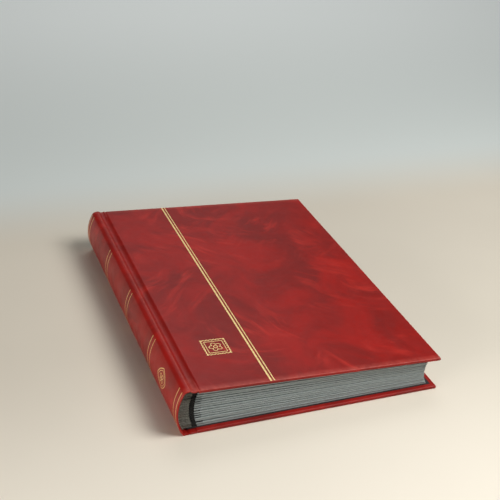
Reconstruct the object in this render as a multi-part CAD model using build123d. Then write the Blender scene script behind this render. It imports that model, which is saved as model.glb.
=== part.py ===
from build123d import *
import os
from math import asin, degrees, sqrt

# A hard-cover stamp stock album: a wrapped case with a rounded spine, and a block of
# card leaves, each hung on its own cloth hinge and faced with clear pocket strips.
# Millimetres. It lies on its back cover, the spine at -X, the tail edge at -Y.

# ---------------------------------------------------------------- driving dimensions
# Case. x = 0 is the spine-side edge of both boards until the parts are centred.
cover_width = 212.0          # board, from the joint to the fore-edge
cover_height = 305.0         # head to tail
thickness_at_spine = 41.4    # outside the two covers, at the boards' spine-side edge
thickness_at_fore_edge = 31.5
board_thickness = 2.0
leatherette = 0.4
turn_in = 15.0               # leatherette folded over onto the inside of a board
endpaper = 0.2
endpaper_inset = 4.0         # strip of turn-in left showing round the endpaper
endpaper_clearance = 2.6     # from the spine lining to the back endpaper's edge

# Rounded spine and the two joint grooves beside it.
spine_reach = 18.0           # how far the spine stands out behind the boards
spine_radius = 40.6
spine_axis_drop = 0.05       # from the ridge's half height down to the centre of the curve
ridge_rise = 1.1             # ridge above the front cover's face at the boards' edge
ridge_inner = 7.5            # from the boards' edge to the near side of the ridge
ridge_width = 1.0
shoulder_drop = 2.0          # from the ridge down to where the spine's round begins
groove_foot = 6.3            # from the boards' edge to the foot of the ridge
groove_slope = 1.2           # width of the slope from the board down into the groove
groove_depth = 1.5
liner_thickness = 0.8        # stiff strip inside the spine
liner_margin = 3.0           # clear of the spine's two shoulders
hollow_gap = 0.9             # between the liner and the lining on the stubs
lining_thickness = 0.5
lining_flange = 12.0         # lining glued onto the back board

# Leaves.
leaf_count = 16
card_thickness = 1.25
fore_edge_square = 8.7       # card narrower than the cover
tail_square = 4.5            # cover beyond the leaves at the head and at the tail
stack_clearance = 0.25       # under the lowest leaf and over the highest
hinge_band = 4.0             # cloth hinge between the stub and the card
hinge_band_back = 4.4        # band's middle from the boards' edge, at mid-thickness
hinge_band_radius = 45.0     # the band is rounded like the spine
hinge_cloth = 0.35
hinge_overlap = 5.0          # cloth folded onto the card's two faces
hinge_face_cloth = 0.15
stub_gap = 0.15

# Clear pocket strips on both faces of a card.
pocket_film = 0.1
pocket_rows = 9
pocket_gap = 4.0
pocket_side_margin = 6.0
pocket_end_margin = 6.0

# Turning axis shared by the front cover and the leaves, over the joint groove.
turn_axis_back = 4.4
running_gap = 0.3

# Gilt lines and ornaments, sunk into the leatherette.
foil = 0.1
cover_rules = ((58.7, 1.5), (61.5, 0.9))     # distance from the joint, width
spine_rule_pairs = 5
spine_rule_width = 0.9
spine_rule_spacing = 6.1
spine_rule_end = 5.8                         # middle of the end pairs from head or tail
spine_rule_low = 1.8                         # lower ends of the rules above the underside
spine_rule_short = 0.4                       # upper ends below the spine's shoulder
stamp_size = (20.8, 20.8)
stamp_place = (31.0, 53.9)                   # from the joint, from the tail edge
stamp_hole = 0.85
stamp_holes = (6, 6)
stamp_border = 1.7
stamp_line = 0.7
fleuron_size = (18.0, 16.0)                  # along the spine, round the spine
fleuron_from_tail = 42.5
fleuron_rise = 5.0                           # its middle above the middle of the curve
fleuron_line = 0.9

# ------------------------------------------------------------------- derived values
cover_thickness = board_thickness + 2 * leatherette
wedge = degrees(asin((thickness_at_spine - thickness_at_fore_edge) / cover_width))
slope = (thickness_at_spine - thickness_at_fore_edge) / cover_width
leaf_height = cover_height - 2 * tail_square
card_width = cover_width - fore_edge_square
centre_x = (cover_width - spine_reach) / 2
ridge_height = thickness_at_spine + ridge_rise
spine_axis_height = ridge_height / 2 - spine_axis_drop
spine_centre_x = spine_radius - spine_reach
lining_radius = spine_radius - leatherette - liner_thickness - hollow_gap
stub_radius = lining_radius - lining_thickness
block_floor = cover_thickness + endpaper
stack_floor = block_floor + stack_clearance
card_faces = card_thickness / 2
shoulder_height = ridge_height - shoulder_drop
liner_low = liner_margin
liner_high = shoulder_height - liner_margin / 2


def save(node, part):
    """Centre a sub-part on the album's footprint and write it as one STEP file."""
    export_step(Pos(-centre_x, 0, 0) * part, f"parts/{node}.step")


def prism(points, height, middle=0.0):
    """Straight prism along Y over an outline given as (x, z) points."""
    outline = Polyline(*[(x, middle, z) for x, z in points], close=True)
    return extrude(make_face(outline), amount=height / 2, dir=(0, 1, 0), both=True)


def block(x_low, x_high, height, z_low, z_high, middle=0.0):
    """Box between two x and two z values, its length along Y."""
    return prism([(x_low, z_low), (x_high, z_low), (x_high, z_high), (x_low, z_high)], height, middle)


def cylinder(radius, height, middle=0.0):
    """Round bar along Y about the centre of the spine's curve."""
    place = Pos(spine_centre_x, middle, spine_axis_height) * Rot(90, 0, 0)
    return place * Cylinder(radius, height)


def spine_shell(outer, inner, height, z_low, z_high, middle=0.0):
    """Part of the rounded spine's wall between two radii and two heights."""
    window = block(-2 * spine_reach, 0, height, z_low, z_high, middle)
    return (cylinder(outer, height, middle) - cylinder(inner, height + 2, middle)) & window


# ------------------------------------------------------------------------- the case
def spine_outline():
    """Outside of the spine and both grooves, closed a little inside the boards."""
    inside = 5.0
    ridge_back = -(ridge_inner + ridge_width)
    foot_back = spine_centre_x - sqrt(spine_radius**2 - spine_axis_height**2)
    shoulder_x = spine_centre_x - sqrt(spine_radius**2 - (shoulder_height - spine_axis_height) ** 2)
    groove_top = thickness_at_spine - groove_depth

    def at(x, z):
        return Vector(x, 0, z)

    back = Polyline(
        at(inside, 0), at(0, 0), at(-groove_slope, groove_depth), at(-groove_foot, groove_depth),
        at(-ridge_inner, 0), at(foot_back, 0),
    )
    round_back = ThreePointArc(
        at(foot_back, 0), at(-spine_reach, spine_axis_height), at(shoulder_x, shoulder_height)
    )
    front = Polyline(
        at(shoulder_x, shoulder_height), at(ridge_back, ridge_height), at(-ridge_inner, ridge_height),
        at(-groove_foot, groove_top), at(-groove_slope, groove_top), at(0, thickness_at_spine),
        at(inside, thickness_at_spine), at(inside, 0),
    )
    return make_face(Curve() + [back, round_back, front])


def spine_skin():
    """Leatherette over the spine and both grooves, up to the boards' edges."""
    outside = spine_outline()
    inside = offset(outside, amount=-leatherette, kind=Kind.INTERSECTION)
    skin = extrude(outside - inside, amount=cover_height / 2, dir=(0, 1, 0), both=True)
    skin = skin & block(-2 * spine_reach, leatherette / 2, cover_height, 0, ridge_height)
    return skin + spine_turn_ins()


def spine_liner():
    """Stiff strip that gives the spine its curve, between the two joint grooves."""
    outer = spine_radius - leatherette
    height = cover_height - 2 * leatherette
    return spine_shell(outer, outer - liner_thickness, height, liner_low, liner_high)


def spine_turn_ins():
    """Leatherette folded over the liner at the head and the tail, and onto its inside."""
    middle = (cover_height - turn_in) / 2
    inner = spine_radius - 2 * leatherette - liner_thickness
    outer = spine_radius - leatherette / 2
    folds = [spine_shell(outer, inner, turn_in, liner_low, liner_high, side * middle) for side in (-1, 1)]
    return folds[0] + folds[1] - spine_liner()


def cover_tray():
    """Leatherette round one board: outer face, four edges and the turned-in strips."""
    outer = block(0, cover_width, cover_height, 0, cover_thickness)
    board_top = leatherette + board_thickness
    window = block(
        leatherette, cover_width - turn_in, cover_height - 2 * turn_in, leatherette, 2 * cover_thickness
    )
    joint_side = block(-1, turn_in, cover_height - 2 * turn_in, board_top, 2 * cover_thickness)
    return outer - cover_board() - window - joint_side


def cover_board():
    """Grey board, a leatherette's thickness inside the tray."""
    height = cover_height - 2 * leatherette
    return block(leatherette, cover_width - leatherette, height, leatherette, leatherette + board_thickness)


def endpaper_sheet(x_start, fill_start):
    """Paper over the board and the turn-ins; its middle fills the window between them."""
    board_top = leatherette + board_thickness
    fill = block(fill_start, cover_width - turn_in, cover_height - 2 * turn_in, board_top, block_floor)
    height = cover_height - 2 * endpaper_inset
    sheet = block(x_start, cover_width - endpaper_inset, height, cover_thickness, block_floor)
    return fill + sheet


def as_front(part):
    """Turn a back-cover part over and set it on the sloping top of the album."""
    return Pos(0, 0, thickness_at_spine) * Rot(0, wedge, 0) * part.mirror(Plane.XY)


# ------------------------------------------------------------------- gilt ornaments
def cover_foil(depth):
    """Double rule down the cover and a perforated stamp outline, as a flat inlay."""
    rules = [block(x - w / 2, x + w / 2, cover_height, 0, depth) for x, w in cover_rules]
    width, height = stamp_size
    outline = Rectangle(width, height)
    across, along = stamp_holes
    for i in range(across):
        x = width * ((i + 0.5) / across - 0.5)
        outline -= Pos(x, height / 2) * Circle(stamp_hole)
        outline -= Pos(x, -height / 2) * Circle(stamp_hole)
    for i in range(along):
        y = height * ((i + 0.5) / along - 0.5)
        outline -= Pos(width / 2, y) * Circle(stamp_hole)
        outline -= Pos(-width / 2, y) * Circle(stamp_hole)
    inset = 2 * stamp_border
    picture = Rectangle(width - inset - 2 * stamp_border, height - inset - 2 * stamp_border)
    core = Rectangle(width - inset - stamp_line * 2, height - inset - stamp_line * 2)
    outline = outline - Rectangle(width - inset, height - inset) + (core - picture)
    x, y = stamp_place
    stamp = extrude(Pos(x, y - cover_height / 2) * outline, amount=depth)
    return rules[0] + rules[1] + stamp


def spine_foil(depth):
    """Pairs of rules round the spine and one lozenge ornament, as a curved inlay."""
    low = spine_rule_low
    high = shoulder_height - spine_rule_short
    inner = spine_radius - depth
    first = -cover_height / 2 + spine_rule_end
    pitch = (cover_height - 2 * spine_rule_end) / (spine_rule_pairs - 1)
    bands = []
    for i in range(spine_rule_pairs):
        for side in (-1, 1):
            middle = first + i * pitch + side * spine_rule_spacing / 2
            bands.append(spine_shell(spine_radius, inner, spine_rule_width, low, high, middle))
    return Part() + bands + lozenge(inner)


def lozenge(inner):
    """Lozenge outline with a smaller one inside it, wrapped on the spine's curve."""
    along, around = fleuron_size
    middle = fleuron_from_tail - cover_height / 2
    level = spine_axis_height + fleuron_rise

    def diamond(scale):
        a, b = along * scale / 2, around * scale / 2
        corners = [(0, -a, 0), (0, 0, b), (0, a, 0), (0, 0, -b)]
        face = make_face(Polyline(*corners, close=True))
        return Pos(0, middle, level) * extrude(face, amount=2 * spine_reach, dir=(-1, 0, 0))

    line = 2 * fleuron_line / around
    pattern = (diamond(1) - diamond(1 - line)) + diamond(0.45)
    return pattern & spine_shell(spine_radius, inner, 2 * along, 0, ridge_height, middle)


# ----------------------------------------------------------------------- the leaves
def stack_ceiling(x):
    """Underside of the front endpaper, less the clearance, at a distance from the joint."""
    return thickness_at_spine - slope * x - block_floor - stack_clearance


def leaf_level(index, x):
    """Middle of a leaf's thickness; the leaves share the wedge between the covers."""
    share = (index + 0.5) / leaf_count
    return stack_floor + share * (stack_ceiling(x) - stack_floor)


def band_middle(index):
    """Place of a leaf's cloth hinge on the rounded band."""
    rise = leaf_level(index, 0) - (stack_floor + stack_ceiling(0)) / 2
    return -hinge_band_back + hinge_band_radius - sqrt(hinge_band_radius**2 - rise**2)


def plate(index, x_low, x_high, low, high, height, middle=0.0):
    """Flat strip that follows a leaf; low and high are measured from its middle."""
    left = leaf_level(index, x_low)
    right = leaf_level(index, x_high)
    corners = [(x_low, left + low), (x_high, right + low), (x_high, right + high), (x_low, left + high)]
    return prism(corners, height, middle)


def card(index):
    """Stiff card of one leaf."""
    start = band_middle(index) + hinge_band / 2
    return plate(index, start, start + card_width, -card_faces, card_faces, leaf_height)


def cloth_hinge(index):
    """Leaf's half of the cloth hinge: the free web and the fold round the card's edge."""
    start = band_middle(index) + hinge_band / 2
    web_start = band_middle(index) + running_gap / 2
    fold = start - hinge_cloth
    half = card_faces + hinge_face_cloth
    web = plate(index, web_start, start, -hinge_cloth / 2, hinge_cloth / 2, leaf_height)
    wrap = plate(index, fold, start + hinge_overlap, -half, half, leaf_height)
    return web + wrap - card(index)


def pocket_strips(index):
    """Clear strips on both faces of the card, open along their upper edges."""
    start = band_middle(index) + hinge_band / 2
    x_low = start + hinge_overlap + pocket_side_margin
    x_high = start + card_width - pocket_side_margin
    pitch = (leaf_height - 2 * pocket_end_margin + pocket_gap) / pocket_rows
    first = -leaf_height / 2 + pocket_end_margin + (pitch - pocket_gap) / 2
    strips = []
    for row in range(pocket_rows):
        middle = first + row * pitch
        for low in (card_faces, -card_faces - pocket_film):
            strips.append(plate(index, x_low, x_high, low, low + pocket_film, pitch - pocket_gap, middle))
    return Part() + strips


def stub_edges(index):
    """Lowest and highest level of a stub at the joint, with the end stubs meeting the case."""
    pitch = (stack_ceiling(0) - stack_floor) / leaf_count
    low = leaf_level(index, 0) - pitch / 2 + stub_gap / 2
    high = leaf_level(index, 0) + pitch / 2 - stub_gap / 2
    return (block_floor if index == 0 else low), high


def stub(index):
    """Card stub between the spine lining and the cloth hinge."""
    low, high = stub_edges(index)
    body = block(-2 * spine_reach, band_middle(index) - hinge_band / 2, leaf_height, low, high)
    return body & cylinder(stub_radius, leaf_height)


def stub_hinge(index):
    """Stub's half of the cloth hinge."""
    start = band_middle(index) - hinge_band / 2
    end = band_middle(index) - running_gap / 2
    return plate(index, start, end, -hinge_cloth / 2, hinge_cloth / 2, leaf_height)


def lining_foot():
    """Place of the lining's inner face where it meets the back board's level."""
    rise = spine_axis_height - leatherette - board_thickness
    return spine_centre_x - sqrt(stub_radius**2 - rise**2)


def spine_lining():
    """Cloth glued round the stubs and onto the back board, under the endpaper."""
    low = leatherette + board_thickness
    top = stub_edges(leaf_count - 1)[1]
    round_part = spine_shell(lining_radius, stub_radius, leaf_height, low, top)
    foot = lining_foot()
    flange_height = leaf_height - 2 * turn_in
    flange = block(foot - lining_thickness / 2, lining_flange, flange_height, low, cover_thickness)
    return round_part + flange


# ------------------------------------------------------------------------ the nodes
os.makedirs("parts", exist_ok=True)

skin_round_spine = spine_skin()
hinge_line = -turn_axis_back
mid_height = thickness_at_spine / 2
front_side = block(hinge_line, cover_width, 2 * cover_height, mid_height, 2 * ridge_height)
slit_low, slit_high = hinge_line - running_gap / 2, hinge_line + running_gap / 2
joint_slit = block(slit_low, slit_high, 2 * cover_height, mid_height, 2 * ridge_height)
rear_skin = skin_round_spine - front_side - joint_slit
front_skin = (skin_round_spine & front_side) - joint_slit

save("back_board", cover_board())
save("back_and_spine_leatherette", cover_tray() + rear_skin - spine_foil(foil))
save("back_endpaper", endpaper_sheet(lining_foot() + endpaper_clearance, lining_flange))
save("spine_liner", spine_liner())
save("spine_gilding", spine_foil(foil))
save("spine_lining", spine_lining())
save("card_stubs", Part() + [stub(i) for i in range(leaf_count)])
save("stub_cloth_hinges", Part() + [stub_hinge(i) for i in range(leaf_count)])

save("front_board", as_front(cover_board()))
save("front_leatherette", as_front(cover_tray() - cover_foil(foil)) + front_skin)
save("front_endpaper", as_front(endpaper_sheet(leatherette, leatherette)))
save("cover_gilding", as_front(cover_foil(foil)))

for i in range(leaf_count):
    number = f"{i + 1:02d}"
    save(f"leaf_{number}_card", card(i))
    save(f"leaf_{number}_cloth_hinge", cloth_hinge(i))
    save(f"leaf_{number}_pocket_strips", pocket_strips(i))
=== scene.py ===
from math import asin, cos, pi, radians, sin

import bpy
import numpy as np
from mathutils import Matrix, Vector


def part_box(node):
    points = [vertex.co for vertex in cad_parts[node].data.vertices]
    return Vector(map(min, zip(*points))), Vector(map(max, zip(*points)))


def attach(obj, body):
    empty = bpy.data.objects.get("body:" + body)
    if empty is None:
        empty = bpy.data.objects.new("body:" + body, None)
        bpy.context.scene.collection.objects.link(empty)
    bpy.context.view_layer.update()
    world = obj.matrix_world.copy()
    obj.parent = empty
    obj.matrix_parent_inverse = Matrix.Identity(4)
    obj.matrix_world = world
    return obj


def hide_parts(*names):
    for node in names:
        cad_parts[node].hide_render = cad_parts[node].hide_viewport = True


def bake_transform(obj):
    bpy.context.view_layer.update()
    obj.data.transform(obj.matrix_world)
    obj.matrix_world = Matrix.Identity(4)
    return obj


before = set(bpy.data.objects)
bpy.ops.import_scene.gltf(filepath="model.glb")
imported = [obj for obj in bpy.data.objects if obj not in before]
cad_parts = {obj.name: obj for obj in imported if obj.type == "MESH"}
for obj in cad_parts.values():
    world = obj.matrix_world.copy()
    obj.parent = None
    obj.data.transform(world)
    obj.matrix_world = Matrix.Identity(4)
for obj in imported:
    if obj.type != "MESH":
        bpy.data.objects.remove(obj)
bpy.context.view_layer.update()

# ------------------------------------------------------------------ sizes, in metres
MM = 0.001
LEATHERETTE = 0.4 * MM
COVER_THICKNESS = 2.8 * MM
ENDPAPER = 0.2 * MM
THICKNESS_AT_SPINE = 41.4 * MM
THICKNESS_AT_FORE_EDGE = 31.5 * MM
RIDGE_HEIGHT = 42.5 * MM
RIDGE_INNER = 7.5 * MM
SHOULDER_DROP = 2.0 * MM
SHOULDER = ((-12.0 * MM, 41.55 * MM), (-10.6 * MM, 42.2 * MM), (-8.9 * MM, 42.5 * MM))
GROOVE_FOOT = 6.3 * MM
GROOVE_SLOPE = 1.2 * MM
GROOVE_DEPTH = 1.5 * MM
GROOVE_WALL = 1.0 * MM
GROOVE_RUN_OUT = 14 * MM
GROOVE_FILL = 0.85           # how far the groove fills up at head and tail
GROOVE_FILL_START = 1.0 * MM
SPINE_RADIUS = 40.6 * MM
SPINE_AXIS_HEIGHT = 21.2 * MM
SPINE_WALL = 1.6 * MM
BOARD_EDGE_ROUND = 0.8 * MM
ROUND_SHARE = 0.45           # most of the wall that a rounded edge takes
# Lighter leatherette: at the arrises partly wear and partly a painted highlight, on the ridge a painted
# highlight, in the groove near the tail a painted sheen.
ARRIS_WEAR_AND_HIGHLIGHT = 0.55 * MM
ARRIS_WEAR_AND_HIGHLIGHT_SPREAD = 0.7 * ARRIS_WEAR_AND_HIGHLIGHT
RIDGE_CREST = 0.2 * MM       # crest of the ridge behind its near side
RIDGE_PAINTED_HIGHLIGHT = 0.75
TAIL_PAINTED_SHEEN = 0.6
TAIL_PAINTED_SHEEN_RUN = (3 * MM, 30 * MM)
CARD_THICKNESS = 1.25 * MM
CARD_EDGE_ROUND = 0.2 * MM
CARD_STEPS = (4.5 * MM, 7 * MM)                              # across the leaf, along it
CARD_SETBACK = 0.5 * MM                                      # most that a leaf falls short
CARD_BORDER = np.array([0.7, 1.6, 3.0, 4.6]) * MM            # extra stations at head and tail
WAVES = 3
WAVE_SHARE = 0.6                                             # of the room to the next leaf
OUTER_WAVE_SHARE = 0.75                                      # lowest and highest leaf
WAVE_RUN = (1.2 * MM, 5.2 * MM)                              # where the wave dies away
WAVE_CLEARANCE = 0.05 * MM
CUT_SWELL = 0.24 * MM                                        # cut edges of the card swell
CUT_SWELL_SHARE = 0.35
BAND = 4.0 * MM
CLOTH_OVERLAP = 5.0 * MM
THIN_RIM = 0.1 * MM                                        # rounding at a thin sheet's ends
RIBBON_AT_STUB = 0.25 * MM                                   # ribbon's middle from the leaf's
RIBBON_ON_CARD = 0.09 * MM                                   # the same, outside the card's face
RIBBON_SWELL = 0.12 * MM
RIBBON_HALF = 0.08 * MM
RIBBON_HALF_SWELL = 0.13 * MM
STACK_CLEARANCE = 0.25 * MM
LEAVES = 16
PLIES = 4                                                    # card plies in one stub
STUB_GAP = 0.07 * MM                                         # over and under each stub
PLY_GAP = 0.04 * MM
PLY_RIPPLE = 0.05 * MM
PLY_RIPPLE_LENGTH = 1.3 * MM
LINER_THICKNESS = 0.8 * MM
HOLLOW_GAP = 0.9 * MM
LINING_THICKNESS = 0.5 * MM
ENDPAPER_INSET = 4 * MM
ENDPAPER_RISE = (-6.5 * MM, 0.5 * MM)                        # from the joint, where it lifts
ENDPAPER_FOOT = -8.5 * MM
ENDPAPER_TUCK = 0.35 * MM                                    # above the stack of leaves

RULES_ON_COVER = ((58.7 * MM, 1.5 * MM), (61.5 * MM, 0.9 * MM))
RULE_PAIRS_ON_SPINE = 5
SPINE_RULE_WIDTH = 0.8 * MM
SPINE_RULE_SPACING = 6.1 * MM
SPINE_RULE_END = 5.8 * MM
STAMP_PLACE = (31.0 * MM, 53.9 * MM)
STAMP_SIZE = (20.8 * MM, 20.8 * MM)
STAMP_HOLES = (7, 7)
STAMP_BITE = 0.8 * MM
STAMP_LINE = 0.75 * MM
STAMP_FRAME_INSET = 2.6 * MM
STAMP_FLOWER = ((5.6 * MM, 5, 0.45), (1.7 * MM, 5, 0.1))     # radius, petals, depth
RULE_END_GAP = 0.35 * MM
FLEURON_FROM_TAIL = 42.5 * MM
FLEURON_RISE = 5.0 * MM
FLEURON_SIZE = (20.0 * MM, 18.0 * MM)
FLEURON_OUTLINES = ((1.0, 0.8 * MM), (0.78, 0.5 * MM))       # share of the size, line width
FLEURON_BOW = 0.10
FLEURON_LINE = 0.7 * MM
FLEURON_FLOWER = ((4.2 * MM, 4, 0.6), (1.1 * MM, 4, 0.1))    # radius, petals, depth
SPINE_RULE_LOW = 1.8 * MM
SPINE_RULE_SHORT = 0.1 * MM
FOIL_PROUD = 0.03 * MM
FOIL_SUNK = 0.06 * MM

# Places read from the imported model: the joint edge of the boards and the cover's ends.
BOARD_LOW, BOARD_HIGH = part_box("back_board")
JOINT_X = BOARD_LOW[0] - LEATHERETTE
FORE_EDGE_X = BOARD_HIGH[0] + LEATHERETTE
HALF_HEIGHT = BOARD_HIGH[1] + LEATHERETTE
COVER_WIDTH = FORE_EDGE_X - JOINT_X
SLOPE = (THICKNESS_AT_SPINE - THICKNESS_AT_FORE_EDGE) / COVER_WIDTH
WEDGE = asin(SLOPE)
SPINE_REACH = JOINT_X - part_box("back_and_spine_leatherette")[0][0]
SPINE_AXIS_X = SPINE_RADIUS - SPINE_REACH
BLOCK_FLOOR = COVER_THICKNESS + ENDPAPER
CARD_BOXES = [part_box(f"leaf_{i + 1:02d}_card") for i in range(LEAVES)]
LEAF_HALF_HEIGHT = CARD_BOXES[0][1][1]

# The camera, placed from the album's own frame.
CAMERA_PLACE = (-0.305223, -0.726405, 0.505351)
CAMERA_AZIMUTH = -22.735
CAMERA_ELEVATION = 29.09
CAMERA_ROLL = 4.262
CAMERA_LENS = 72.18

# Soft lights: name, place, aim, size, power in watts, colour.
LIGHTS = (
    ("key", (0.50, -0.42, 0.95), (0.06, -0.1, 0), 0.55, 12.5, (1.0, 0.985, 0.955)),
    ("wall_glow", (0.36, 1.5, 0.85), (0, 0, 0), 0.85, 0.85, (0.93, 0.98, 1.0)),
    ("far_wash", (0.5, 1.3, 1.7), (0.5, 1.3, 0), 1.2, 10.0, (0.97, 0.99, 1.0)),
    ("left_fill", (-1.15, -0.5, 0.22), (-0.1, 0, 0.02), 0.5, 8.5, (1.0, 0.95, 0.9)),
)
SKY_COLOUR = (1.0, 0.985, 0.96, 1)
SKY_STRENGTH = 0.09
FLOOR_HALF_WIDTH = 4.0


# ------------------------------------------------------------------------ the camera
def add_camera():
    """Camera looking along its azimuth and elevation, then rolled about its own axis."""
    a, e = radians(CAMERA_AZIMUTH), radians(CAMERA_ELEVATION)
    back = Vector((sin(a) * cos(e), -cos(a) * cos(e), sin(e)))
    level = Vector((cos(a), sin(a), 0))
    up = back.cross(level)
    r = radians(CAMERA_ROLL)
    right = level * cos(r) + up * sin(r)
    up = back.cross(right)
    data = bpy.data.cameras.new("camera")
    data.sensor_width = 36
    data.lens = CAMERA_LENS
    data.clip_start = 0.01
    data.clip_end = 50
    camera = bpy.data.objects.new("camera", data)
    axes = Matrix((right, up, back)).transposed().to_4x4()
    camera.matrix_world = Matrix.Translation(CAMERA_PLACE) @ axes
    bpy.context.collection.objects.link(camera)
    bpy.context.scene.camera = camera


# --------------------------------------------------------------------- mesh helpers
def make_piece(name, points, quads, material, uv=None, smooth=True):
    """Mesh object from an (n, 3) array of points and an (m, 4) array of corners."""
    mesh = bpy.data.meshes.new(name)
    mesh.vertices.add(len(points))
    mesh.vertices.foreach_set("co", np.ascontiguousarray(points, np.float32).ravel())
    mesh.loops.add(quads.size)
    mesh.loops.foreach_set("vertex_index", quads.astype(np.int32).ravel())
    mesh.polygons.add(len(quads))
    mesh.polygons.foreach_set("loop_start", np.arange(0, quads.size, 4, dtype=np.int32))
    mesh.polygons.foreach_set("use_smooth", np.full(len(quads), smooth))
    mesh.update(calc_edges=True)
    mesh.validate()
    if uv is not None:
        layer = mesh.uv_layers.new(name="surface")
        layer.data.foreach_set("uv", uv[quads.ravel()].astype(np.float32).ravel())
    mesh.materials.append(material)
    piece = bpy.data.objects.new(name, mesh)
    bpy.context.collection.objects.link(piece)
    return piece


def sheet_mesh(outer, inner):
    """Closed skin round two (n, m, 3) grids: both faces and the four rim walls between."""
    n, m = outer.shape[:2]
    index = np.arange(n * m).reshape(n, m)

    def faces(a, b, c, d):
        return np.stack([a, b, c, d], axis=-1).reshape(-1, 4)

    low = index + n * m
    top = faces(index[:-1, :-1], index[1:, :-1], index[1:, 1:], index[:-1, 1:])
    bottom = faces(low[:-1, :-1], low[:-1, 1:], low[1:, 1:], low[1:, :-1])
    left = faces(index[0, :-1], index[0, 1:], low[0, 1:], low[0, :-1])
    right = faces(index[-1, 1:], index[-1, :-1], low[-1, :-1], low[-1, 1:])
    near = faces(index[1:, 0], index[:-1, 0], low[:-1, 0], low[1:, 0])
    far = faces(index[:-1, -1], index[1:, -1], low[1:, -1], low[:-1, -1])
    points = np.concatenate([outer.reshape(-1, 3), inner.reshape(-1, 3)])
    return points, np.concatenate([top, bottom, left, right, near, far])


def sheet_piece(name, outer, inner, material, wear_and_sheen=None, smooth=True):
    """Closed sheet piece; its UV holds the outer face's wear and painted highlight, and the side of the
    sheet.
    """
    points, quads = sheet_mesh(outer, inner)
    count = outer.shape[0] * outer.shape[1]
    wear_and_sheen_channel = np.zeros(2 * count)
    if wear_and_sheen is not None:
        wear_and_sheen_channel[:count] = wear_and_sheen.ravel()
    side = np.concatenate([np.ones(count), np.zeros(count)])
    return make_piece(name, points, quads, material, np.stack([wear_and_sheen_channel, side], axis=1), smooth)


def join(parts):
    """Points and quads of several meshes as one."""
    points, quads, shift = [], [], 0
    for p, q in parts:
        points.append(p)
        quads.append(q + shift)
        shift += len(p)
    return np.concatenate(points), np.concatenate(quads)


def edge_stations(low, high, roundness, step, ring=5):
    """Positions from low to high, crowded over the rounded part at each end."""
    bend = roundness * (1 - np.cos(np.linspace(0, pi / 2, ring)))
    count = max(int((high - low - 2 * roundness) / step), 2)
    middle = np.linspace(low + roundness, high - roundness, count + 1)
    return np.concatenate([low + bend[:-1], middle, (high - bend[:-1])[::-1]])


def rounding(distance_a, distance_b, radius):
    """How far a face sinks near its edges: quarter circles that meet in a round corner."""
    a = np.clip(radius - distance_a, 0, radius)
    b = np.clip(radius - distance_b, 0, radius)
    return radius - np.sqrt(np.clip(radius**2 - a**2 - b**2, 0, None))


def resample(points, step):
    """Even stations along a polyline, about one step apart."""
    legs = np.linalg.norm(np.diff(points, axis=0), axis=1)
    length = np.concatenate([[0], np.cumsum(legs)])
    s = np.linspace(0, length[-1], int(length[-1] / step) + 1)
    return np.stack([np.interp(s, length, points[:, k]) for k in range(2)], axis=1)


def soften(points, width):
    """Round the corners of an evenly sampled line by a moving average, ends kept."""
    window = 2 * width + 1
    padded = np.concatenate([
        2 * points[0] - points[width:0:-1], points, 2 * points[-1] - points[-2:-width - 2:-1]
    ])
    kernel = np.ones(window) / window
    return np.stack([np.convolve(padded[:, k], kernel, "valid") for k in range(2)], axis=1)


def step_up(x, low, high):
    """Smooth 0 to 1 step between two values."""
    t = np.clip((x - low) / (high - low), 0, 1)
    return t * t * (3 - 2 * t)


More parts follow.
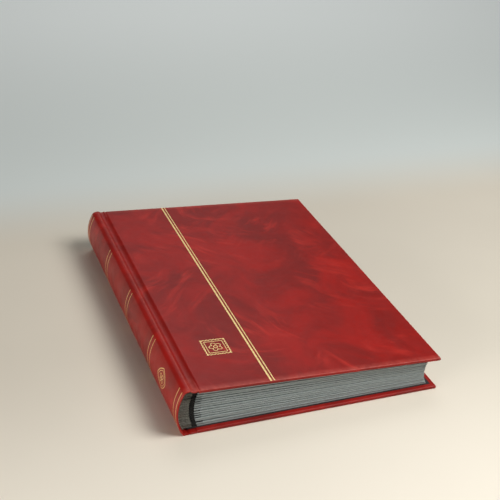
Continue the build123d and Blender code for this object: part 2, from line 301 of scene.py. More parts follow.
# ------------------------------------------------------------------------ materials
class Shader:
    """Small wrapper that adds nodes to one material and links them."""

    def __init__(self, name, roughness, metallic=0.0, specular=0.5):
        self.material = bpy.data.materials.new(name)
        self.material.use_nodes = True
        self.tree = self.material.node_tree
        self.surface = self.tree.nodes["Principled BSDF"]
        self.surface.inputs["Roughness"].default_value = roughness
        self.surface.inputs["Metallic"].default_value = metallic
        self.surface.inputs["Specular IOR Level"].default_value = specular
        self.object_place = self.add("ShaderNodeTexCoord").outputs["Object"]

    def add(self, kind, **settings):
        """New node of a kind with its settings."""
        node = self.tree.nodes.new(kind)
        for key, value in settings.items():
            setattr(node, key, value)
        return node

    def link(self, source, target):
        """Join an output to an input."""
        self.tree.links.new(source, target)

    def stretched(self, scale, turn=(0, 0, 0), place=None):
        """Coordinates that draw a pattern out by scale along axes turned by turn."""
        node = self.add("ShaderNodeMapping", vector_type="TEXTURE")
        node.inputs["Scale"].default_value = scale
        node.inputs["Rotation"].default_value = turn
        self.link(place or self.object_place, node.inputs["Vector"])
        return node.outputs["Vector"]

    def noise(self, scale, detail=3.0, roughness=0.5, distortion=0.0, place=None):
        """Fractal noise from 0 to 1, of scale features a metre."""
        node = self.add("ShaderNodeTexNoise")
        node.inputs["Scale"].default_value = scale
        node.inputs["Detail"].default_value = detail
        node.inputs["Roughness"].default_value = roughness
        node.inputs["Distortion"].default_value = distortion
        self.link(place or self.object_place, node.inputs["Vector"])
        return node.outputs["Fac"]

    def cells(self, scale):
        """Distance to the nearest point of a scatter: a pebbled grain."""
        node = self.add("ShaderNodeTexVoronoi", feature="F1")
        node.inputs["Scale"].default_value = scale
        self.link(self.object_place, node.inputs["Vector"])
        return node.outputs["Distance"]

    def math(self, operation, a, b=0.0):
        """One arithmetic step; a and b are numbers or outputs of nodes."""
        node = self.add("ShaderNodeMath", operation=operation)
        for socket, value in zip(node.inputs, (a, b)):
            if isinstance(value, (int, float)):
                socket.default_value = value
            else:
                self.link(value, socket)
        return node.outputs[0]

    def band(self, value, low, high, out_low=0.0, out_high=1.0):
        """Smooth remap of a value from one range to another."""
        node = self.add("ShaderNodeMapRange", interpolation_type="SMOOTHSTEP")
        node.inputs["From Min"].default_value = low
        node.inputs["From Max"].default_value = high
        node.inputs["To Min"].default_value = out_low
        node.inputs["To Max"].default_value = out_high
        self.link(value, node.inputs["Value"])
        return node.outputs["Result"]

    def mix(self, factor, a, b):
        """Colour between a and b; each is a colour or a node's output."""
        node = self.add("ShaderNodeMix", data_type="RGBA")
        self.link(factor, node.inputs["Factor"])
        for socket, value in ((node.inputs[6], a), (node.inputs[7], b)):
            if isinstance(value, tuple):
                socket.default_value = (*value, 1)
            else:
                self.link(value, socket)
        return node.outputs[2]

    def colour(self, value):
        """Base colour from a node."""
        self.link(value, self.surface.inputs["Base Color"])

    def roughen(self, value):
        """Roughness from a node."""
        self.link(value, self.surface.inputs["Roughness"])

    def bump(self, layers):
        """Bumps stacked one on another, each given as (height, distance in metres)."""
        last = None
        for height, distance in layers:
            node = self.add("ShaderNodeBump")
            node.inputs["Strength"].default_value = 1.0
            node.inputs["Distance"].default_value = distance
            self.link(height, node.inputs["Height"])
            if last is not None:
                self.link(last, node.inputs["Normal"])
            last = node.outputs["Normal"]
        self.link(last, self.surface.inputs["Normal"])


def marbled_leatherette():
    """Deep red, clouded darker, with soft feathery strokes of brighter red in three ways.

    A stroke is a noise stretched along its direction; the product of the stroke, a broad
    mask and fine hair lines along it gives a feather with broken, fading ends.
    """
    m = Shader("marbled_leatherette", roughness=0.34, specular=0.2)
    bend = m.add("ShaderNodeTexNoise")
    bend.inputs["Scale"].default_value = 14
    bend.inputs["Detail"].default_value = 1
    m.link(m.object_place, bend.inputs["Vector"])
    shift = m.add("ShaderNodeVectorMath", operation="MULTIPLY_ADD")
    shift.inputs[1].default_value = (0.05, 0.05, 0.05)
    m.link(bend.outputs["Color"], shift.inputs[0])
    m.link(m.object_place, shift.inputs[2])
    bent = shift.outputs[0]
    strokes = None
    for angle, mask_scale, mask_low in ((-0.55, 17, 0.46), (0.75, 15, 0.50), (2.0, 19, 0.52)):
        along = m.stretched((5.5, 1, 1), (0, 0, angle), bent)
        body = m.band(m.noise(84, detail=4, roughness=0.62, place=along), 0.47, 0.72)
        fine = m.stretched((8, 1, 1), (0, 0, angle), bent)
        hairs = m.band(m.noise(420, detail=2, roughness=0.6, place=fine), 0.3, 0.7, 0.6, 1.0)
        turned = m.stretched((1, 1, 1), (0, 0, angle + 1))
        mask = m.band(m.noise(mask_scale, detail=2, place=turned), mask_low, mask_low + 0.2)
        stroke = m.math("MULTIPLY", m.math("MULTIPLY", body, hairs), mask)
        strokes = stroke if strokes is None else m.math("MAXIMUM", strokes, stroke)
    clouds = m.noise(16, detail=4, roughness=0.55, distortion=0.6, place=bent)
    fine_clouds = m.noise(75, detail=4, roughness=0.62, distortion=0.4)
    base = m.mix(m.band(clouds, 0.34, 0.66), (0.175, 0.008, 0.006), (0.31, 0.008, 0.005))
    base = m.mix(m.band(fine_clouds, 0.3, 0.75, 0.0, 0.35), base, (0.24, 0.009, 0.0065))
    skin = m.mix(m.math("MULTIPLY", strokes, 0.72), base, (0.47, 0.024, 0.016))
    # Pale red from the UV's first channel: partly wear, and a painted highlight at the arrises and on the
    # ridge, a painted sheen in the groove near the tail.
    uv = m.add("ShaderNodeUVMap", uv_map="surface")
    wear_and_sheen_channel = m.add("ShaderNodeSeparateXYZ")
    m.link(uv.outputs["UV"], wear_and_sheen_channel.inputs["Vector"])
    patchy = m.band(m.noise(240, detail=3, roughness=0.6), 0.3, 0.62, 0.35, 1.0)
    wear_and_sheen = m.math("MULTIPLY", wear_and_sheen_channel.outputs["X"], patchy)
    m.colour(m.mix(m.math("MULTIPLY", wear_and_sheen, 0.5), skin, (0.58, 0.13, 0.10)))
    pebble = m.cells(1900)
    creases = m.noise(900, detail=3, roughness=0.6)
    swell = m.noise(26, detail=2)
    m.roughen(m.band(m.noise(120, detail=4), 0.3, 0.7, 0.3, 0.39))
    m.bump([(swell, 0.0006), (pebble, 0.00003), (creases, 0.00003)])
    return m.material


def gold_foil():
    """Blocked foil: bright metal with slightly worn, uneven shine."""
    m = Shader("gold_foil", roughness=0.42, metallic=0.75)
    wear_and_sheen = m.noise(900, detail=4, roughness=0.7)
    m.colour(m.mix(m.band(wear_and_sheen, 0.4, 0.75), (1.0, 0.78, 0.36), (0.66, 0.42, 0.15)))
    m.roughen(m.band(wear_and_sheen, 0.3, 0.75, 0.34, 0.5))
    m.bump([(m.noise(2500, detail=2), 0.00001)])
    return m.material


def leaf_card():
    """Pale grey card; its cut edge shows two plies and the marks of the knife."""
    m = Shader("leaf_card", roughness=0.62, specular=0.35)
    side = m.add("ShaderNodeSeparateXYZ")
    uv = m.add("ShaderNodeUVMap", uv_map="surface")
    m.link(uv.outputs["UV"], side.inputs["Vector"])
    across = side.outputs["Y"]
    middle = m.band(m.math("ABSOLUTE", m.math("SUBTRACT", across, 0.5)), 0.03, 0.16, 1.0, 0.0)
    knife = m.noise(260, detail=4, roughness=0.7, place=m.stretched((1, 1, 0.17)))
    fibres = m.noise(1500, detail=3, roughness=0.6)
    base = m.mix(m.band(knife, 0.35, 0.7), (0.26, 0.30, 0.305), (0.335, 0.385, 0.39))
    base = m.mix(m.math("MULTIPLY", middle, 0.3), base, (0.15, 0.17, 0.17))
    m.colour(base)
    m.bump([(fibres, 0.00003), (knife, 0.00004)])
    return m.material


def stub_card():
    """Rough grey card plies, darker where the folds are glued."""
    m = Shader("stub_card", roughness=0.85, specular=0.25)
    speckle = m.noise(900, detail=4, roughness=0.75, place=m.stretched((1, 1, 0.55)))
    blotch = m.noise(150, detail=3)
    base = m.mix(m.band(speckle, 0.33, 0.7), (0.10, 0.10, 0.085), (0.33, 0.335, 0.30))
    m.colour(m.mix(m.band(blotch, 0.4, 0.75, 0.0, 0.5), base, (0.16, 0.16, 0.14)))
    m.bump([(speckle, 0.00015)])
    return m.material


def hinge_cloth():
    """Black bookbinder's linen: a fine crossing weave."""
    m = Shader("hinge_cloth", roughness=0.8, specular=0.3)
    warp = m.noise(2600, detail=2, place=m.stretched((1, 8, 1)))
    weft = m.noise(2600, detail=2, place=m.stretched((8, 1, 8)))
    weave = m.math("MAXIMUM", warp, weft)
    m.colour(m.mix(m.band(weave, 0.45, 0.75), (0.006, 0.006, 0.006), (0.022, 0.022, 0.021)))
    m.bump([(weave, 0.00008)])
    m.surface.inputs["Sheen Weight"].default_value = 0.1
    return m.material


def lining_cloth():
    """Open cream mull, stiff with glue."""
    m = Shader("lining_cloth", roughness=0.85, specular=0.25)
    warp = m.noise(1500, detail=1, place=m.stretched((1, 10, 1)))
    weft = m.noise(1500, detail=1, place=m.stretched((10, 1, 1)))
    weave = m.math("MAXIMUM", warp, weft)
    m.colour(m.mix(m.band(weave, 0.42, 0.7), (0.16, 0.15, 0.12), (0.45, 0.43, 0.36)))
    m.bump([(weave, 0.00012)])
    return m.material


def endpaper():
    """Charcoal endpaper with a felt-like tooth."""
    m = Shader("endpaper", roughness=0.7, specular=0.3)
    tooth = m.noise(1700, detail=3, roughness=0.65)
    cloud = m.noise(40, detail=3)
    base = m.mix(m.band(cloud, 0.35, 0.7), (0.020, 0.019, 0.021), (0.030, 0.028, 0.031))
    m.colour(m.mix(m.band(tooth, 0.45, 0.8, 0.0, 0.6), base, (0.048, 0.045, 0.048)))
    m.bump([(tooth, 0.00004)])
    return m.material


def grey_board():
    """Pressed grey board with dark and light flecks."""
    m = Shader("grey_board", roughness=0.85, specular=0.25)
    flecks = m.noise(1100, detail=4, roughness=0.7)
    m.colour(m.mix(m.band(flecks, 0.35, 0.7), (0.20, 0.195, 0.18), (0.38, 0.37, 0.34)))
    m.bump([(flecks, 0.00006)])
    return m.material


def clear_film():
    """Thin clear strip: mostly see-through, with a soft gloss and faint drawing lines."""
    m = Shader("clear_film", roughness=0.12, specular=0.6)
    lines = m.noise(500, detail=2, place=m.stretched((20, 1, 1)))
    m.colour(m.mix(m.band(lines, 0.4, 0.7), (0.86, 0.88, 0.89), (0.95, 0.96, 0.97)))
    m.roughen(m.band(lines, 0.3, 0.7, 0.09, 0.18))
    m.surface.inputs["Alpha"].default_value = 0.22
    m.bump([(lines, 0.00001)])
    return m.material


def studio_floor():
    """Pale warm floor with painted shade beside and behind the album, then a cool grey painted lighter
    farther back.
    """
    m = Shader("studio_floor", roughness=0.9, specular=0.15)
    place = m.add("ShaderNodeSeparateXYZ")
    m.link(m.object_place, place.inputs["Vector"])
    mottle = m.band(m.noise(3, detail=3), 0.3, 0.7)
    front = m.mix(mottle, (0.82, 0.765, 0.665), (0.85, 0.795, 0.695))
    # Painted shade: the floor turns darker from the front back past the album, standing in for the light's
    # falloff.
    painted_shade_beside = m.mix(mottle, (0.59, 0.545, 0.465), (0.62, 0.575, 0.49))
    painted_shade_slant = m.math("ADD", place.outputs["Y"], m.math("MULTIPLY", place.outputs["X"], 0.15))
    near = m.mix(m.band(painted_shade_slant, -0.33, -0.02), front, painted_shade_beside)
    # Cool grey behind, with painted light: lighter the farther back it lies.
    cool_backdrop_painted_light = m.mix(m.band(place.outputs["Y"], 0.35, 1.1), (0.62, 0.665, 0.65), (0.92, 0.96, 0.945))
    m.colour(m.mix(m.band(place.outputs["Y"], 0.17, 0.32), near, cool_backdrop_painted_light))
    return m.material


LEATHER = marbled_leatherette()
GOLD = gold_foil()
CARD = leaf_card()
STUB = stub_card()
CLOTH = hinge_cloth()
LINING = lining_cloth()
PAPER = endpaper()
BOARD = grey_board()
FILM = clear_film()


# ----------------------------------------------------------------- the case covering
def place_xz(x, z, y):
    """Grid of points from a cross-section (x from the joint, z) and stations along Y."""
    grid = np.empty((len(x), len(y), 3))
    grid[..., 0] = JOINT_X + (x if x.ndim == 2 else x[:, None])
    grid[..., 1] = y[None, :]
    grid[..., 2] = z if z.ndim == 2 else z[:, None]
    return grid


def spine_arc(z):
    """Distance behind the joint of the rounded spine at a height."""
    return SPINE_AXIS_X - np.sqrt(SPINE_RADIUS**2 - (z - SPINE_AXIS_HEIGHT) ** 2)


def covering(path, up, ends, name):
    """Thick leatherette sheet along a cross-section path of (x, z) points.

    The outer face is the path. The inner face lies the wall's thickness inside it: along
    the path's normal round the spine, straight up or down (up = 1 or -1) over the boards
    and grooves. Head, tail and the path's free end are rounded by quarter circles. The
    groove fades out towards head and tail by GROOVE_RUN_OUT. The lightening kept in the UV
    is the largest of three: a bell curve of the distance to the nearest arris (partly wear,
    partly a painted highlight), one of the distance to the ridge (a painted highlight), and
    a share of the groove that dies away from the tail (a painted sheen).
    """
    tangent = np.gradient(path, axis=0)
    tangent /= np.linalg.norm(tangent, axis=1)[:, None]
    flat = step_up(path[:, 0], -GROOVE_FOOT - 0.4 * MM, -GROOVE_FOOT + 0.6 * MM)[:, None]
    flat = flat * (np.abs(path[:, 1:] - SPINE_AXIS_HEIGHT) > SPINE_AXIS_HEIGHT / 2)
    normal = (1 - flat) * np.stack([tangent[:, 1], -tangent[:, 0]], axis=1) + flat * np.array([0.0, up])
    normal /= np.linalg.norm(normal, axis=1)[:, None]
    wall = wall_along(path)
    length = np.concatenate([[0], np.cumsum(np.linalg.norm(np.diff(path, axis=0), axis=1))])
    y = edge_stations(-HALF_HEIGHT, HALF_HEIGHT, BOARD_EDGE_ROUND, 5 * MM)
    to_end = length if ends == "start" else length[-1] - length
    to_rim = HALF_HEIGHT - np.abs(y)
    scale = np.minimum(BOARD_EDGE_ROUND, wall * ROUND_SHARE) / BOARD_EDGE_ROUND
    sink = rounding(to_end[:, None], to_rim[None, :], BOARD_EDGE_ROUND) * scale[:, None]
    fill = GROOVE_FILL * (1 - step_up(to_rim, GROOVE_FILL_START, GROOVE_RUN_OUT))
    raise_groove = groove_share(path)[:, None] * fill[None, :] * GROOVE_DEPTH
    sides = []
    for inward in (sink - raise_groove, wall[:, None] - sink - 0.5 * raise_groove):
        sides.append(place_xz(path[:, :1] + normal[:, :1] * inward, path[:, 1:] + normal[:, 1:] * inward, y))
    # Wear and painted highlight at the arrises, painted highlight on the ridge, painted sheen in the groove
    # near the tail.
    nearest = np.minimum(to_end[:, None], to_rim[None, :])
    wear_and_sheen = np.exp(-(((nearest - ARRIS_WEAR_AND_HIGHLIGHT) / ARRIS_WEAR_AND_HIGHLIGHT_SPREAD) ** 2))
    from_ridge = np.hypot(path[:, 0] + RIDGE_INNER + RIDGE_CREST, path[:, 1] - RIDGE_HEIGHT)
    wear_and_sheen = np.maximum(wear_and_sheen, RIDGE_PAINTED_HIGHLIGHT * np.exp(-((from_ridge / ARRIS_WEAR_AND_HIGHLIGHT) ** 2))[:, None])
    tail = 1 - step_up(y + HALF_HEIGHT, *TAIL_PAINTED_SHEEN_RUN)
    wear_and_sheen = np.maximum(wear_and_sheen, TAIL_PAINTED_SHEEN * groove_share(path)[:, None] * tail[None, :])
    return sheet_piece(name, sides[0], sides[1], LEATHER, wear_and_sheen)


def groove_share(path):
    """1 in the floor of a joint groove, 0 outside it."""
    x = path[:, 0]
    return step_up(x, -RIDGE_INNER, -GROOVE_FOOT) * (1 - step_up(x, -GROOVE_SLOPE, 0))


def wall_along(path):
    """Thickness of the covering: board, groove or spine, blended over a short run."""
    x = path[:, 0]
    board = step_up(x, -GROOVE_SLOPE, 0.2 * MM)
    spine = 1 - step_up(x, -RIDGE_INNER - 1.5 * MM, -GROOVE_FOOT)
    return GROOVE_WALL + board * (COVER_THICKNESS - GROOVE_WALL) + spine * (SPINE_WALL - GROOVE_WALL)


def even_path(corners, fine_to):
    """Softened path with fine stations up to fine_to and coarse ones along the board."""
    dense = soften(resample(np.array(corners), 0.15 * MM), 4)
    fine = dense[:, 0] < fine_to
    near_edge = dense[:, 0] > COVER_WIDTH - 3 * MM
    stride = np.arange(len(dense)) % 24 == 0
    keep = (fine & (np.arange(len(dense)) % 2 == 0)) | near_edge | stride
    keep[0] = keep[-1] = True
    return dense[keep]


def rear_covering():
    """Leatherette from the back board's fore-edge, under the book and round the spine."""
    top = RIDGE_HEIGHT - SHOULDER_DROP
    heights = np.linspace(0, top, 90)
    round_part = [(spine_arc(z), z) for z in heights]
    corners = [
        (COVER_WIDTH, 0), (0.3 * MM, 0), (-GROOVE_SLOPE, GROOVE_DEPTH), (-GROOVE_FOOT, GROOVE_DEPTH),
        (-RIDGE_INNER, 0), *round_part, *SHOULDER, (-RIDGE_INNER, RIDGE_HEIGHT),
    ]
    path = even_path(corners, 1 * MM)
    piece = covering(path, 1, "start", "leatherette_back_and_spine")
    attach(piece, "back_case")
    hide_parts("back_and_spine_leatherette")


def front_covering():
    """Leatherette from the spine's ridge, through the joint groove and over the front board."""
    floor = THICKNESS_AT_SPINE - GROOVE_DEPTH
    fore_edge = (COVER_WIDTH * cos(WEDGE), THICKNESS_AT_FORE_EDGE)
    corners = [
        (-RIDGE_INNER, RIDGE_HEIGHT), (-RIDGE_INNER + 0.5 * MM, RIDGE_HEIGHT - 0.5 * MM),
        (-GROOVE_FOOT - 0.1 * MM, floor + 0.9 * MM), (-GROOVE_FOOT + 0.8 * MM, floor + 0.1 * MM),
        (-GROOVE_FOOT / 2, floor - 0.1 * MM), (-GROOVE_SLOPE, floor + 0.35 * MM),
        (0.9 * MM, THICKNESS_AT_SPINE - 0.1 * MM), fore_edge,
    ]
    path = even_path(corners, 1 * MM)
    piece = covering(path, -1, "end", "leatherette_front")
    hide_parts("front_leatherette")
    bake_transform(piece)


# -------------------------------------------------------------------------- gilding
def on_cover(u, v, lift):
    """Place on the front cover: u from the joint, v from the tail, lift off the face."""
    x = u * cos(WEDGE) + lift * sin(WEDGE)
    z = THICKNESS_AT_SPINE - u * SLOPE + lift * cos(WEDGE)
    return np.stack([JOINT_X + x, v - HALF_HEIGHT, z], axis=-1)


def on_spine(u, v, lift):
    """Place on the spine: u round it from mid-height, v from the tail, lift off the face."""
    angle = u / SPINE_RADIUS
    radius = SPINE_RADIUS + lift
    x = JOINT_X + SPINE_AXIS_X - radius * np.cos(angle)
    z = SPINE_AXIS_HEIGHT + radius * np.sin(angle)
    return np.stack([x, v - HALF_HEIGHT, z], axis=-1)


def foil_line(points, width, surface, closed=False):
    """Thin foil ribbon of even width along a line of (u, v) points on a surface."""
    if closed:
        points = np.concatenate([points, points[:1]])
    tangent = np.gradient(points, axis=0)
    if closed:
        tangent[0] = tangent[-1] = points[1] - points[-2]
    tangent /= np.maximum(np.linalg.norm(tangent, axis=1), 1e-9)[:, None]
    across = np.stack([-tangent[:, 1], tangent[:, 0]], axis=1) * width / 2
    left, right = points + across, points - across
    grid = np.stack([left, right], axis=1)
    outer = surface(grid[..., 0], grid[..., 1], FOIL_PROUD)
    inner = surface(grid[..., 0], grid[..., 1], -FOIL_SUNK)
    return sheet_mesh(outer, inner)


def straight(start, end, count=2):
    """Evenly spaced points on a straight line."""
    t = np.linspace(0, 1, count)[:, None]
    return np.array(start) * (1 - t) + np.array(end) * t


def perforated_edge(centre, size, bite, holes):
    """Outline of a stamp: a rectangle whose sides dip inwards as a row of half rounds."""
    w, h = size[0] / 2, size[1] / 2
    corners = [(-w, -h), (w, -h), (w, h), (-w, h)]
    line = []
    for i in range(4):
        a, b = np.array(corners[i]), np.array(corners[(i + 1) % 4])
        t = np.linspace(0, 1, 12 * holes[i % 2], endpoint=False)
        inward = np.array([-(b - a)[1], (b - a)[0]]) / np.linalg.norm(b - a)
        dip = bite * np.clip(np.sin(2 * pi * (holes[i % 2] * t - 0.25)), 0, None)
        line.append(a + (b - a) * t[:, None] + inward * dip[:, None])
    return np.concatenate(line) + np.array(centre)


def rosette(centre, radius, petals, depth):
    """Closed flower line: the radius waves in and out once for each petal."""
    a = np.linspace(0, 2 * pi, 24 * petals, endpoint=False)
    r = radius * (1 - depth + depth * np.abs(np.sin(petals * a / 2)))
    return np.stack([centre[0] + r * np.cos(a), centre[1] + r * np.sin(a)], axis=1)


def cover_gilding():
    """Double rule down the front cover and the small stamp beside it."""
    parts = []
    for u, width in RULES_ON_COVER:
        rule = straight((u, RULE_END_GAP), (u, 2 * HALF_HEIGHT - RULE_END_GAP), 80)
        parts.append(foil_line(rule, width, on_cover))
    fine_line = STAMP_LINE * 0.8
    edge = perforated_edge(STAMP_PLACE, STAMP_SIZE, STAMP_BITE, STAMP_HOLES)
    parts.append(foil_line(edge, STAMP_LINE, on_cover, True))
    a, b = (side / 2 - STAMP_FRAME_INSET for side in STAMP_SIZE)
    x, y = STAMP_PLACE
    corners = [(x - a, y - b), (x + a, y - b), (x + a, y + b), (x - a, y + b)]
    for i in range(4):
        leg = straight(corners[i], corners[(i + 1) % 4])
        parts.append(foil_line(leg, fine_line, on_cover))
    for radius, petals, depth in STAMP_FLOWER:
        parts.append(foil_line(rosette(STAMP_PLACE, radius, petals, depth), fine_line, on_cover, True))
    points, quads = join(parts)
    piece = make_piece("gilding_on_cover", points, quads, GOLD, smooth=False)
    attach(piece, "front_cover")
    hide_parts("cover_gilding")


def spine_gilding():
    """Pairs of rules round the spine and a lozenge fleuron between the lowest two pairs."""
    low = -SPINE_RADIUS * asin((SPINE_AXIS_HEIGHT - SPINE_RULE_LOW) / SPINE_RADIUS)
    rise = RIDGE_HEIGHT - SHOULDER_DROP - SPINE_RULE_SHORT - SPINE_AXIS_HEIGHT
    high = SPINE_RADIUS * asin(rise / SPINE_RADIUS)
    pitch = (2 * HALF_HEIGHT - 2 * SPINE_RULE_END) / (RULE_PAIRS_ON_SPINE - 1)
    parts = []
    for i in range(RULE_PAIRS_ON_SPINE):
        for side in (-0.5, 0.5):
            v = SPINE_RULE_END + i * pitch + side * SPINE_RULE_SPACING
            parts.append(foil_line(straight((low, v), (high, v), 40), SPINE_RULE_WIDTH, on_spine))
    along, around = FLEURON_SIZE[0] / 2, FLEURON_SIZE[1] / 2
    centre = np.array([FLEURON_RISE, FLEURON_FROM_TAIL])
    for scale, width in FLEURON_OUTLINES:
        tips = [(0, -along * scale), (around * scale, 0), (0, along * scale), (-around * scale, 0)]
        for i in range(4):
            a, b = np.array(tips[i]), np.array(tips[(i + 1) % 4])
            t = np.linspace(0, 1, 14)[:, None]
            bow = FLEURON_BOW * (a + b) * np.sin(pi * t)
            parts.append(foil_line(centre + a * (1 - t) + b * t + bow, width, on_spine))
    for radius, petals, depth in FLEURON_FLOWER:
        flower = rosette(centre, radius, petals, depth)
        parts.append(foil_line(flower, FLEURON_LINE, on_spine, True))
    points, quads = join(parts)
    piece = make_piece("gilding_on_spine", points, quads, GOLD, smooth=False)
    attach(piece, "back_case")
    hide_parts("spine_gilding")


# ------------------------------------------------------------------------ the block
def stack_floor_level():
    """Underside of the stack of leaves."""
    return BLOCK_FLOOR + STACK_CLEARANCE


def stack_ceiling(x):
    """Top of the stack: it falls evenly from the joint to the fore-edge."""
    return THICKNESS_AT_SPINE - SLOPE * x - BLOCK_FLOOR - STACK_CLEARANCE


def leaf_level(i, x):
    """Middle of a leaf's thickness at a distance from the joint."""
    share = (i + 0.5) / LEAVES
    return stack_floor_level() + share * (stack_ceiling(x) - stack_floor_level())


def card_start(i):
    """Spine-side edge of a card, from the joint."""
    return CARD_BOXES[i][0][0] - JOINT_X


def leaf_cards(rng):
    """Card leaves. Each is flat where the pockets are; its border waves a little.

    The wave is a sum of sines across the leaf, a share of the room to the next leaf, and
    dies away over WAVE_RUN, before the first pocket. The lowest leaf sags and the highest
    rises instead. The cut edges swell by CUT_SWELL where there is room.
    """
    for i in range(LEAVES):
        start, end = card_start(i), CARD_BOXES[i][1][0] - JOINT_X
        x = edge_stations(start, end, CARD_EDGE_ROUND, CARD_STEPS[0], ring=3)
        setback = rng.uniform(0, CARD_SETBACK, 2)
        tail, head = -LEAF_HALF_HEIGHT + setback[0], LEAF_HALF_HEIGHT - setback[1]
        y = edge_stations(tail, head, CARD_EDGE_ROUND, CARD_STEPS[1], ring=3)
        y = np.sort(np.concatenate([y, y[0] + CARD_BORDER, y[-1] - CARD_BORDER]))
        gap = (stack_ceiling(x) - stack_floor_level()) / LEAVES - CARD_THICKNESS
        wave = np.zeros_like(x)
        for k in range(WAVES):
            wave += np.sin(x / ((16 + 30 * k + rng.uniform(0, 14)) * MM) + rng.uniform(0, 2 * pi))
        room = np.clip(gap / 2 - WAVE_CLEARANCE, 0, None)
        wave = np.clip(wave / 1.7, -1, 1) * WAVE_SHARE * room
        if i in (0, LEAVES - 1):
            wave = OUTER_WAVE_SHARE * room * (-1 if i == 0 else 1)
        to_side, to_rim = np.minimum(x - start, end - x), np.minimum(y - y[0], y[-1] - y)
        fade = 1 - step_up(to_rim, *WAVE_RUN)
        sink = rounding(to_side[:, None], to_rim[None, :], CARD_EDGE_ROUND)
        level = leaf_level(i, x)[:, None] + wave[:, None] * fade[None, :]
        swell = np.minimum(CUT_SWELL, CUT_SWELL_SHARE * room)[:, None] * fade[None, :]
        half = CARD_THICKNESS / 2 - sink + swell
        number = f"{i + 1:02d}"
        upper, lower = place_xz(x, level + half, y), place_xz(x, level - half, y)
        piece = sheet_piece(f"leaf_card_{number}", upper, lower, CARD)
        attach(piece, f"leaf_{number}")
        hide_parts(f"leaf_{number}_card")


def cloth_hinges(rng):
    """Two linen ribbons a leaf, from the stub to the two faces of the card.

    They part between the band's back and the card's edge, swelling in the band itself,
    and lie flat on the card for CLOTH_OVERLAP.
    """
    for i in range(LEAVES):
        start = card_start(i)
        back = start - BAND
        x = np.concatenate([
            np.linspace(back - 0.4 * MM, start + 0.4 * MM, 22),
            np.linspace(start + 0.9 * MM, start + CLOTH_OVERLAP + rng.uniform(-0.5, 0.7) * MM, 6),
        ])
        reach = LEAF_HALF_HEIGHT - rng.uniform(0, 0.4) * MM
        y = edge_stations(-reach, reach, THIN_RIM, 8 * MM, ring=2)
        spread = step_up(x, back + 0.4 * MM, start)
        swell = np.sin(np.clip((x - back) / BAND, 0, 1) * pi)
        run = CARD_THICKNESS / 2 + RIBBON_ON_CARD - RIBBON_AT_STUB
        centre = RIBBON_AT_STUB + spread * run + RIBBON_SWELL * swell
        half = RIBBON_HALF + RIBBON_HALF_SWELL * swell
        parts = []
        for side in (1, -1):
            level = leaf_level(i, x) + side * centre
            high, low = level + half, level - half
            if side == -1 and i == 0:
                low = np.full_like(x, BLOCK_FLOOR + 0.03 * MM)
            if side == 1 and i == LEAVES - 1:
                high = stack_ceiling(x) + STACK_CLEARANCE - 0.05 * MM
            parts.append(sheet_mesh(place_xz(x, high, y), place_xz(x, low, y)))
        points, quads = join(parts)
        number = f"{i + 1:02d}"
        piece = make_piece(f"linen_hinge_{number}", points, quads, CLOTH)
        replaced = [f"leaf_{number}_cloth_hinge"] + (["stub_cloth_hinges"] if i == 0 else [])
        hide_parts(*replaced)
        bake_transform(piece)


def card_stubs(rng):
    """Bundle of card plies between the spine lining and the hinge band, cut unevenly.

    Each ply ends on a circle inside the spine lining and ripples as a sine of its width.
    """
    low, high = BLOCK_FLOOR, stack_ceiling(0)
    pitch = (high - stack_floor_level()) / LEAVES
    ply_radius = SPINE_RADIUS - LEATHERETTE - LINER_THICKNESS - HOLLOW_GAP - LINING_THICKNESS
    parts = []
    for i in range(LEAVES):
        bottom = leaf_level(i, 0) - pitch / 2 + STUB_GAP
        if i == 0:
            bottom = low
        top = leaf_level(i, 0) + pitch / 2 - STUB_GAP
        faces = np.linspace(bottom, top, PLIES + 1)
        for k in range(PLIES):
            z_low, z_high = faces[k] + PLY_GAP, faces[k + 1] - PLY_GAP
            z = (z_low + z_high) / 2
            left = SPINE_AXIS_X - np.sqrt(ply_radius**2 - (z - SPINE_AXIS_HEIGHT) ** 2) + 0.1 * MM
            right = card_start(i) - BAND + rng.uniform(-0.35, 0.05) * MM
            reach = LEAF_HALF_HEIGHT - rng.uniform(0, 0.9, 2) * MM
            x = np.linspace(left, right, 9)
            y = edge_stations(-reach[0], reach[1], THIN_RIM, 12 * MM, ring=2)
            ripple = PLY_RIPPLE * np.sin(x / PLY_RIPPLE_LENGTH + rng.uniform(0, 2 * pi))
            outer = place_xz(x, z_high + ripple - PLY_RIPPLE, y)
            inner = place_xz(x, z_low + ripple + PLY_RIPPLE, y)
            parts.append(sheet_mesh(outer, inner))
    points, quads = join(parts)
    piece = make_piece("stub_plies", points, quads, STUB, smooth=False)
    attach(piece, "back_case")
    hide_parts("card_stubs")


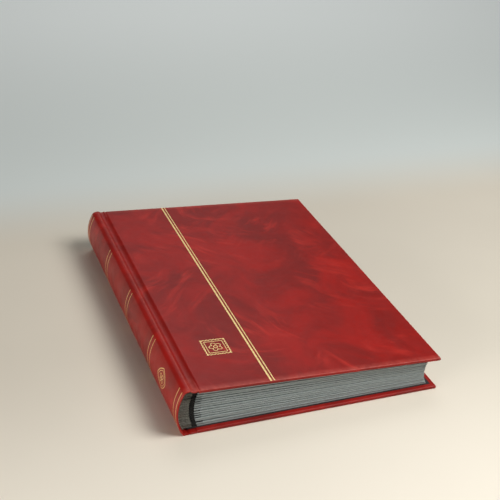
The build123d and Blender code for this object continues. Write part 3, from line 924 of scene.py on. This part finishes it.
def front_endpaper():
    """Endpaper on the inside of the front board that runs on across the joint to the stubs.

    Its face moves by a smooth step from just over the stack up to the board's inner face.
    """
    reach = HALF_HEIGHT - ENDPAPER_INSET
    y = edge_stations(-reach, reach, THIN_RIM, 8 * MM, ring=2)
    over_joint = np.linspace(ENDPAPER_FOOT, 2 * MM, 24)
    x = np.concatenate([over_joint, np.linspace(4 * MM, COVER_WIDTH - ENDPAPER_INSET, 40)])
    board = THICKNESS_AT_SPINE - SLOPE * x - COVER_THICKNESS
    tucked = stack_ceiling(0) + ENDPAPER_TUCK
    share = step_up(x, *ENDPAPER_RISE)
    face = tucked + share * (board - tucked)
    piece = sheet_piece("endpaper_front", place_xz(x, face, y), place_xz(x, face - ENDPAPER, y), PAPER)
    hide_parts("front_endpaper")
    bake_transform(piece)


def finish_cad_nodes():
    """Materials of the nodes that stay as they are."""
    finishes = {"back_board": BOARD, "front_board": BOARD, "spine_liner": BOARD}
    finishes.update({"spine_lining": LINING, "back_endpaper": PAPER})
    for i in range(LEAVES):
        finishes[f"leaf_{i + 1:02d}_pocket_strips"] = FILM
    for node, material in finishes.items():
        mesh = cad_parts[node].data
        mesh.materials.clear()
        mesh.materials.append(material)


# ------------------------------------------------------------------ floor and lights
def add_floor():
    """Large pale floor under the album."""
    size = FLOOR_HALF_WIDTH
    points = np.array([(-size, -size, 0), (size, -size, 0), (size, size, 0), (-size, size, 0)])
    floor = make_piece("floor", points, np.array([[0, 1, 2, 3]]), studio_floor(), smooth=False)


def add_light(name, place, aim, size, power, colour):
    """Soft square light aimed at a point."""
    data = bpy.data.lights.new(name, "AREA")
    data.size = size
    data.energy = power
    data.color = colour
    light = bpy.data.objects.new(name, data)
    light.location = place
    light.rotation_mode = "QUATERNION"
    light.rotation_quaternion = (Vector(aim) - Vector(place)).to_track_quat("-Z", "Y")
    bpy.context.collection.objects.link(light)


def add_lights():
    """Soft key from the right, a dim glow the cover mirrors, a wash far behind, a low fill."""
    for light in LIGHTS:
        add_light(*light)
    world = bpy.data.worlds.new("studio")
    world.use_nodes = True
    sky = world.node_tree.nodes["Background"]
    sky.inputs["Color"].default_value = SKY_COLOUR
    sky.inputs["Strength"].default_value = SKY_STRENGTH
    bpy.context.scene.world = world


# ----------------------------------------------------------------------------- make
add_camera()
rear_covering()
front_covering()
cover_gilding()
spine_gilding()
leaf_cards(np.random.default_rng(16))
cloth_hinges(np.random.default_rng(7))
card_stubs(np.random.default_rng(5))
front_endpaper()
finish_cad_nodes()
add_floor()
add_lights()
bpy.context.scene.view_settings.view_transform = "Standard"
